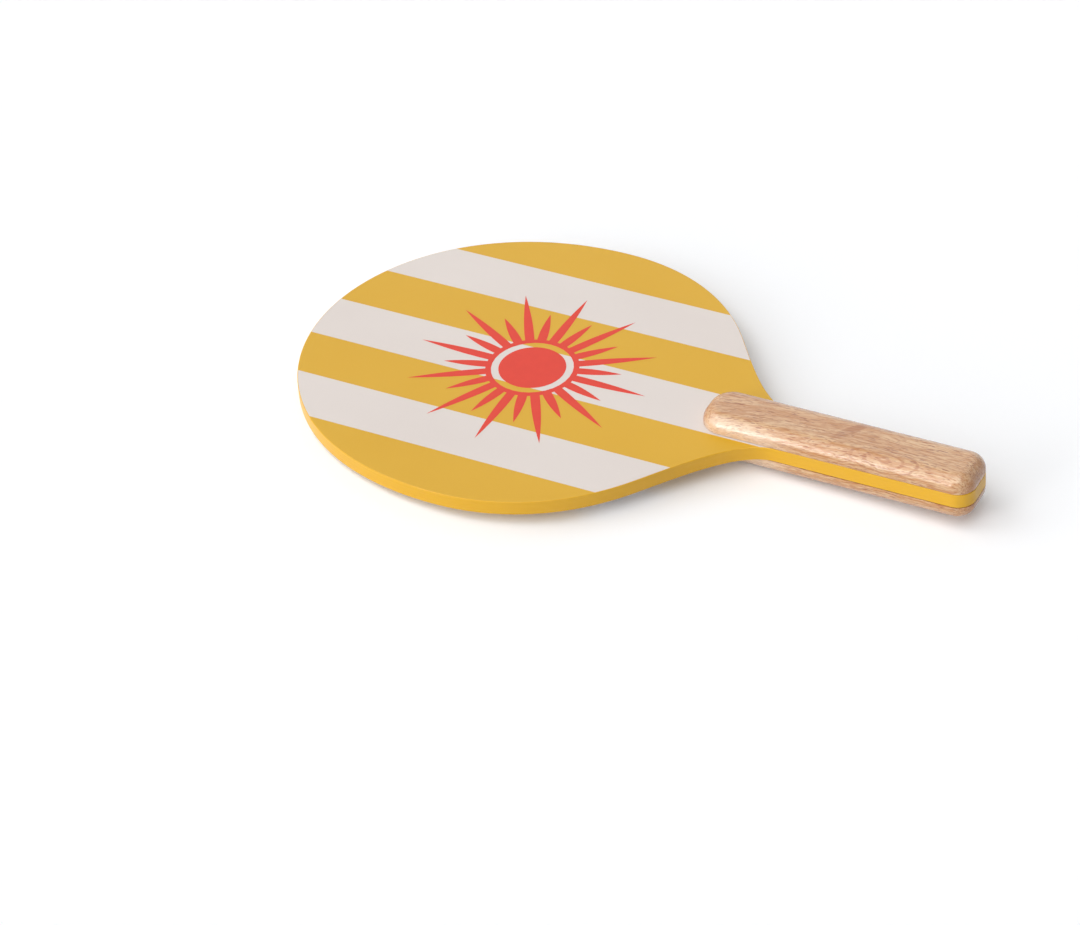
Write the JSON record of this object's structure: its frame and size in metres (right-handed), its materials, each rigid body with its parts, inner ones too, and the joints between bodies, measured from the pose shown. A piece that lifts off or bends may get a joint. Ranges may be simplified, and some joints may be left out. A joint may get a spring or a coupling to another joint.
{
  "type": "frescobol racket",
  "caption": "Striped wooden beach bat: a round plywood blade with an egg-shaped neck, and a rounded wooden scale glued to each side of its tang as the handle.",
  "frame": {"origin": "middle of the racket's outline, on the flat outer face of the back handle scale, which is its lowest face", "axes": "+X runs from the blade's tip to the handle's butt, +Z is the normal of the front face, +Y is across the blade"},
  "size_m": [0.38, 0.228, 0.027],
  "materials": {
    "birch_ply": "rotary-cut birch veneer, hidden under the paint",
    "yellow_enamel": "satin enamel, mustard yellow, sprayed over the board",
    "white_enamel": "satin enamel, warm off-white",
    "coral_ink": "satin screen-printing ink, coral red",
    "wood_glue": "cured wood glue, amber brown",
    "rubberwood": "rubberwood with fine dark pores along the grain, clear satin lacquer"
  },
  "bodies": {
    "root": {"back_face_veneer": "birch_ply", "back_crossband": "birch_ply", "core_ply": "birch_ply", "front_crossband": "birch_ply", "front_face_veneer": "birch_ply", "edge_enamel": "yellow_enamel", "front_yellow_stripe_1": "yellow_enamel", "front_yellow_stripe_2": "yellow_enamel", "front_yellow_stripe_3": "yellow_enamel", "front_yellow_stripe_4": "yellow_enamel", "front_white_stripe_1": "white_enamel", "front_white_stripe_2": "white_enamel", "front_white_stripe_3": "white_enamel", "back_yellow_stripe_1": "yellow_enamel", "back_yellow_stripe_2": "yellow_enamel", "back_yellow_stripe_3": "yellow_enamel", "back_yellow_stripe_4": "yellow_enamel", "back_white_stripe_1": "white_enamel", "back_white_stripe_2": "white_enamel", "back_white_stripe_3": "white_enamel", "front_sun_disc": "coral_ink", "front_sun_rays": "coral_ink", "back_sun_disc": "coral_ink", "back_sun_rays": "coral_ink", "front_glue_line": "wood_glue", "back_glue_line": "wood_glue", "front_handle_scale": "rubberwood", "back_handle_scale": "rubberwood"}
  },
  "joints": []
}
